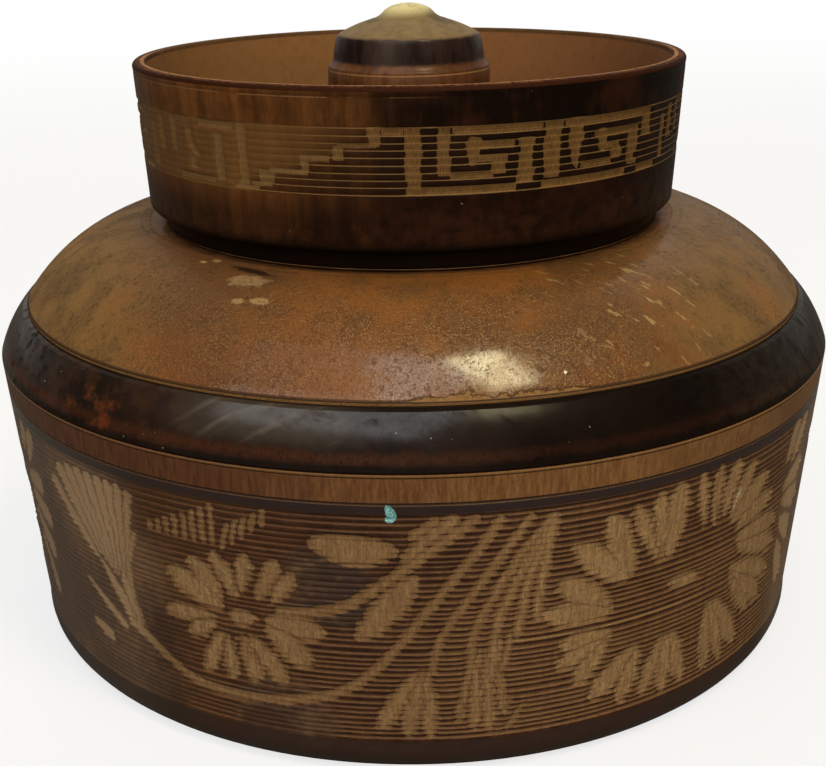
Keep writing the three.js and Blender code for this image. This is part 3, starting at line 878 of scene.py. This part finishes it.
def lid_finish(place, x, y, z):
    """Lacquer from red-brown at the left to nearly black at the right, streaked upright, with the fret
    and the lines in wood colour, faint at the left and crisp at the right. A painted sheen greys the
    far left, and painted shade darkens the cove nearly to black."""
    u = x.math("ARCTAN2", 0 - y) * FRET_RADIUS
    clouds = place.noise(0.07, 3)
    mottle = place.noise(0.45, 5, 0.65)
    grit = place.noise(2.6, 3, 0.7)
    streaks = place.times(1, 1, 0.12).noise(0.35, 5, 0.65)
    fibre = place.times(1, 1, 0.2).noise(4.6, 2, 0.6)
    off_line = abs((fret_phase(z) + 0.5).fract() - 0.5) * FRET_PITCH
    gap = fret_phase(z).floor()
    tooth = place.node("CombineXYZ", {0: u * 0.3, 1: gap * 5.3}).noise(1.0, 1) - 0.5
    worn = x.step(-4, -28)
    comb = (0.3 - off_line) * 0.35 * (1 - worn * 0.8)
    inside, _ = kept_strokes(place, u, z + grit.sway(0.25), tooth * 0.9, comb)
    depth = inside + grit.sway(0.3)
    in_band = z.within(FRET_FOOT + 0.3, FRET_TOP - 0.2, 0.2)
    rising = z - (x * 0.38 + 107.5)
    crisp = (1 - worn) | (1 - rising.step(-2, 1)) * x.step(-32, -25)
    scraped = (depth + worn * (mottle - 0.5) * 0.9).step(-0.08, 0.16) * in_band
    lines = (1 - (off_line - 0.08 - mottle.sway(0.1)).step(-0.05, 0.08)) * in_band * (crisp * 0.75 + 0.12)

    dark = (x + streaks.sway(26) + clouds.sway(34)).step(-38, 4)
    warm = place.coats(
        (102, 62, 28),
        ((streaks + mottle.sway(0.5)).step(0.32, 0.7), (76, 44, 18)),
        (fibre.step(0.5, 0.66) * 0.35, (58, 33, 15)),
        # Painted sheen: the far left edge is greyed.
        (x.step(-46, -54) * 0.5, (88, 68, 50)),
    )
    black = place.coats((15, 6, 2), ((clouds + streaks.sway(0.6)).step(0.46, 0.66), (38, 17, 7)))
    low = (z + mottle.sway(5)).step(96.5, 89)
    shade = place.coats((47, 23, 10), ((streaks * 0.5 + clouds + mottle).step(1.0, 1.5), (17, 8, 4)))
    ground = place.coats(
        warm,
        (dark, black),
        (low * 0.8, shade),
        (in_band * crisp * 0.6, place.coats((50, 27, 12), (dark, (26, 13, 7)))),
        (in_band * (1 - crisp) * 0.55, (102, 72, 38)),
        # Painted shade: the cove and the foot of the wall are nearly black, as the shadow in the gap over
        # the shoulder.
        (z.step(COVE_TOP + 2.0, COVE_TOP - 0.5) * 0.9, (13, 7, 4)),
    )
    wood = place.coats(
        (100, 72, 38),
        ((fibre + mottle.sway(0.5)).step(0.35, 0.7), (79, 54, 27)),
        (worn * 0.6, (122, 94, 57)),
        (off_line.step(0.45, 0.6) * 0.3, (60, 38, 18)),
    )
    broken = x.step(10, -18) * (clouds + (mottle - 0.5)).step(0.42, 0.54)
    colour = place.coats(
        ground,
        (lines * 0.9, (120, 90, 50)),
        (scraped * (1 - worn * 0.25), wood),
        (scraped * lines * 0.4, (138, 106, 62)),
        (z.within(111.2, 111.4, 0.15) * broken * 0.6, (130, 96, 56)),
        (place.noise(1.1, 1).step(0.83, 0.85) * 0.8, (150, 138, 118)),
    )
    bared = scraped | lines
    height = mottle.sway(0.06) - bared * 0.06 + (fibre - 0.5) * bared * 0.05 + grit.sway(0.02)
    height = height + streaks.sway(0.05)
    roughness = 0.42 + bared * 0.2 + mottle.sway(0.2)
    finish_surface(place, colour, roughness, (1 - bared) * 0.04, height, specular=0.06)


def rim_finish(place, x, y, z):
    """The rim and the tray inside: dark lacquer worn to wood along the rim, warm stain within."""
    reach = (x * x + y * y) ** 0.5
    clouds = place.noise(0.05, 3)
    mottle = place.noise(0.45, 5, 0.65)
    fibre = place.times(1, 1, 0.2).noise(4.0, 2, 0.6)
    stain = place.coats(
        (118, 82, 48),
        ((x + clouds.sway(60)).step(-30, 40), (116, 77, 46)),
        (mottle.step(0.45, 0.7) * 0.25, (84, 52, 28)),
    )
    dots = place.noise(1.3, 3, 0.7)
    worn = (dots + mottle.sway(0.5) + clouds.sway(0.5)).step(0.42, 0.58)
    edge = reach.within(RIM_RADIUS - 2.3, RIM_RADIUS - 1.6, 0.3)
    rim = place.coats(
        (44, 20, 8),
        (worn * reach.step(RIM_RADIUS - 0.3, RIM_RADIUS - 0.9), (100, 58, 30)),
        (y.step(-10, 20) * 0.7, (82, 60, 36)),
        (edge * (0.2 + dots.step(0.42, 0.54) * 0.5) * y.step(20, -10), (180, 128, 76)),
    )
    on_rim = z.step(RIM_TOP - 1.1, RIM_TOP - 0.6) | reach.step(RIM_RADIUS - 1.4, RIM_RADIUS - 1.0)
    colour = place.coats(stain, (on_rim, rim))
    height = mottle.sway(0.06) + fibre.sway(0.03)
    finish_surface(place, colour, 0.6 + mottle.sway(0.2), 0.0, height, specular=0.04)


lid_rows, lid_columns = lid_profile()
lid_finishes = [
    material("bare_spigot", plain_finish, *BARE_WOOD),
    material("lacquered_lid", lid_finish),
    material("worn_rim", rim_finish),
]
lid = turned("fretted_lid", lid_rows, lid_columns, lid_finishes, lid_ornament(), FRET_RADIUS)
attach(lid, "lid")
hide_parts("lid")


# The knob: a flared post, glued by a tenon into the lid's floor, with a black band and a worn tip, its pale
# colour partly wood and partly a painted highlight.
KNOB_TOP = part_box("knob")[1].z / MM
KNOB_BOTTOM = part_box("knob")[0].z / MM
KNOB_SEAT = TRAY_FLOOR + 0.3
TENON_RADIUS = 8.0
FLARE_RADIUS = 22.0
RING_RADIUS = 16.4
CONE_RADIUS = 14.2
TIP_RADIUS = 5.6
TIP_HEIGHT = 2.9
RING_LEVEL = 110.0
BAND_LEVEL = 111.9
CONE_LEVEL = 116.8
TIP_LEVEL = KNOB_TOP - TIP_HEIGHT
KNOB_COLUMNS = 128


def knob_profile():
    """The profile from the middle of the tenon's underside to the top of the tip."""
    tip = rounded((0, 0), 1.0, 30, 90, 8) * [TIP_RADIUS, TIP_HEIGHT] + [0, TIP_LEVEL]
    tip[-1, 0] = 0
    return rows(np.vstack([
        [[0, KNOB_BOTTOM], [TENON_RADIUS - 0.4, KNOB_BOTTOM], [TENON_RADIUS, KNOB_BOTTOM + 0.4]],
        [[TENON_RADIUS, KNOB_SEAT], [FLARE_RADIUS - 0.4, KNOB_SEAT]],
        bowed((FLARE_RADIUS, KNOB_SEAT + 0.4), (RING_RADIUS + 0.1, RING_LEVEL - 0.2), -1.6, 16),
        [[RING_RADIUS - 0.05, RING_LEVEL], [RING_RADIUS, RING_LEVEL + 0.2]],
        bowed((RING_RADIUS - 0.1, RING_LEVEL + 0.6), (15.4, BAND_LEVEL), -0.12, 5),
        bowed((15.3, BAND_LEVEL + 0.4), (CONE_RADIUS + 0.3, CONE_LEVEL - 0.3), 0.12, 5),
        bowed((CONE_RADIUS, CONE_LEVEL), (TIP_RADIUS + 2.4, TIP_LEVEL - 0.4), 0.22, 7),
        bowed((TIP_RADIUS + 1.9, TIP_LEVEL - 0.2), tip[0], -0.3, 5), tip[1:],
    ]), 0)


def knob_finish(place, x, y, z):
    """Brown lacquer on the post with a fine pale line, black on the band with a painted grey reflection,
    and worn wood on the cone, pale at the tip with a painted highlight."""
    mottle = place.noise(0.45, 5, 0.65)
    grit = place.noise(2.6, 3, 0.7)
    streaks = place.times(1, 1, 0.15).noise(0.5, 4, 0.6)
    post = place.coats(
        (94, 59, 33),
        (streaks.step(0.35, 0.65), (70, 40, 21)),
        (x.step(-4, 10) * 0.45, (70, 38, 18)),
        (z.within(RING_LEVEL - 0.15, RING_LEVEL + 0.15, 0.15) * 0.6, (146, 106, 62)),
    )
    # Painted reflection: grey streaks down the black band, left of the middle and at the right edge.
    grey = x.within(-7, -2, 5) | x.step(11, 15) * 0.5
    black = place.coats(
        (26, 13, 9), (streaks.step(0.4, 0.6) * 0.6, (48, 34, 28)), (grey * 0.45, (74, 62, 52)),
    )
    smudge = spot(place, (6.5, -3, 119.8), 3.2, 4.5) | spot(place, (-6.5, -2.5, 119.6), 2.4, 3.5)
    cone = place.coats(
        (122, 100, 68), (mottle.step(0.3, 0.75), (102, 83, 56)), (smudge * 0.5, (60, 52, 32)),
    )
    bared = (z + mottle.sway(1.0)).step(CONE_LEVEL - 0.4, CONE_LEVEL + 0.3)
    # The tip: worn pale wood with a painted highlight, paler towards the top.
    pale = place.coats((200, 186, 136), (mottle.step(0.4, 0.7), (172, 156, 108)))
    colour = place.coats(
        post,
        ((z + mottle.sway(0.8)).step(BAND_LEVEL - 0.5, BAND_LEVEL + 0.3), black),
        (bared, cone),
        ((z - x * 0.06 + mottle.sway(1.6)).step(TIP_LEVEL, TIP_LEVEL + 2.4), pale),
    )
    height = mottle.sway(0.06) + grit.sway(0.02)
    roughness = 0.42 + bared * 0.15 + mottle.sway(0.2)
    finish_surface(place, colour, roughness, 0.1 - bared * 0.08, height, specular=0.12)


knob_rows = knob_profile()
knob_finishes = [material("lacquered_knob", knob_finish)]
knob = turned("flared_knob", knob_rows, np.full(len(knob_rows), KNOB_COLUMNS), knob_finishes)
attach(knob, "lid")
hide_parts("knob")


# The studio: a plain pale floor, a wide window light at the left, a warm lamp high at the right, and a
# room that is brighter behind the box than in front of it.
def floor_finish(place, x, y, z):
    """Pale card. The camera sees it nearly white, with soft shadows near the box, and the box sees it
    grey."""
    seen = place.node("LightPath", output="Is Camera Ray")
    colour = place.coats((106, 103, 98), (seen, (224, 223, 222)))
    lit = place.node("BsdfDiffuse", {"Color": colour}, output="BSDF")
    glow = place.node("Emission", {"Color": (1, 1, 1, 1), "Strength": 1.0}, output="Emission")
    far = place.node("VectorMath", {0: place}, output="Value", operation="LENGTH").step(250, 1500)
    both = place.node("MixShader", {0: seen * (0.72 + far * 0.28), 1: lit, 2: glow}, output="Shader")
    place.node("OutputMaterial", {"Surface": both}, output=None)


def area_light(name, azimuth, elevation, distance, width, height, radiance, colour, mirrored=True):
    """A flat lamp that faces the box from a direction. Its radiance is its power over pi times its
    area. One that isn't mirrored lights the box softly, with no reflection in the gloss."""
    side, up = math.radians(azimuth), math.radians(elevation)
    towards = np.array([math.sin(side) * math.cos(up), -math.cos(side) * math.cos(up), math.sin(up)])
    lamp = bpy.data.lights.new(name, "AREA")
    lamp.shape, lamp.size, lamp.size_y = "RECTANGLE", width, height
    lamp.energy, lamp.color = radiance * math.pi * width * height, colour
    holder = bpy.data.objects.new(name, lamp)
    holder.location = towards * distance + [0, 0, 0.06]
    holder.rotation_euler = (math.pi / 2 - up, 0, side)
    holder.visible_glossy = mirrored
    bpy.context.collection.objects.link(holder)


bpy.ops.mesh.primitive_plane_add(size=12)
floor = bpy.context.object
floor.name = "floor"
floor.data.materials.append(material("pale_floor", floor_finish))

area_light("window", -28, 58, 1.3, 1.2, 0.82, 2.2, (0.96, 0.98, 1.0))
area_light("lamp", 35, 60.5, 1.3, 0.26, 0.48, 18, (1.0, 0.88, 0.52))
area_light("front_fill", 6, 22, 1.4, 1.6, 1.4, 2.5, (1.0, 0.98, 0.95), mirrored=False)
area_light("back_fill", 186, 26, 1.5, 1.6, 1.2, 2.0, (1.0, 0.98, 0.95), mirrored=False)

world = bpy.data.worlds.new("room")
bpy.context.scene.world = world
world.use_nodes = True
world.node_tree.nodes.clear()
direction = Wire(world.node_tree, world.node_tree.nodes.new("ShaderNodeTexCoord").outputs["Generated"])
behind = direction.parts()[1].step(0.2, 0.95)
seen = direction.node("LightPath", output="Is Camera Ray")
strength = seen | (0.1 + 0.4 * behind)
tint = direction.coats((1.0, 0.95, 0.88, 1), (seen, (1, 1, 1, 1)))
background = direction.node("Background", {"Color": tint, "Strength": strength})
direction.node("OutputWorld", {"Surface": background}, output=None)

CAMERA_PLACE = (0.05, -277.21, 142.0)
CAMERA_PITCH = 15.893
CAMERA_YAW = -0.44
CAMERA_ROLL = -0.926
camera = bpy.data.objects.new("camera", bpy.data.cameras.new("camera"))
camera.data.lens, camera.data.sensor_width = 58.85, 36
camera.data.shift_x, camera.data.shift_y = 0.01303, -0.11497
turns = ((-CAMERA_YAW, "Z"), (90 - CAMERA_PITCH, "X"), (CAMERA_ROLL, "Z"))
yaw, pitch, roll = (Matrix.Rotation(math.radians(angle), 4, axis) for angle, axis in turns)
camera.matrix_world = Matrix.Translation([value * MM for value in CAMERA_PLACE]) @ yaw @ pitch @ roll
bpy.context.collection.objects.link(camera)
bpy.context.scene.camera = camera
bpy.context.scene.view_settings.view_transform = "Standard"
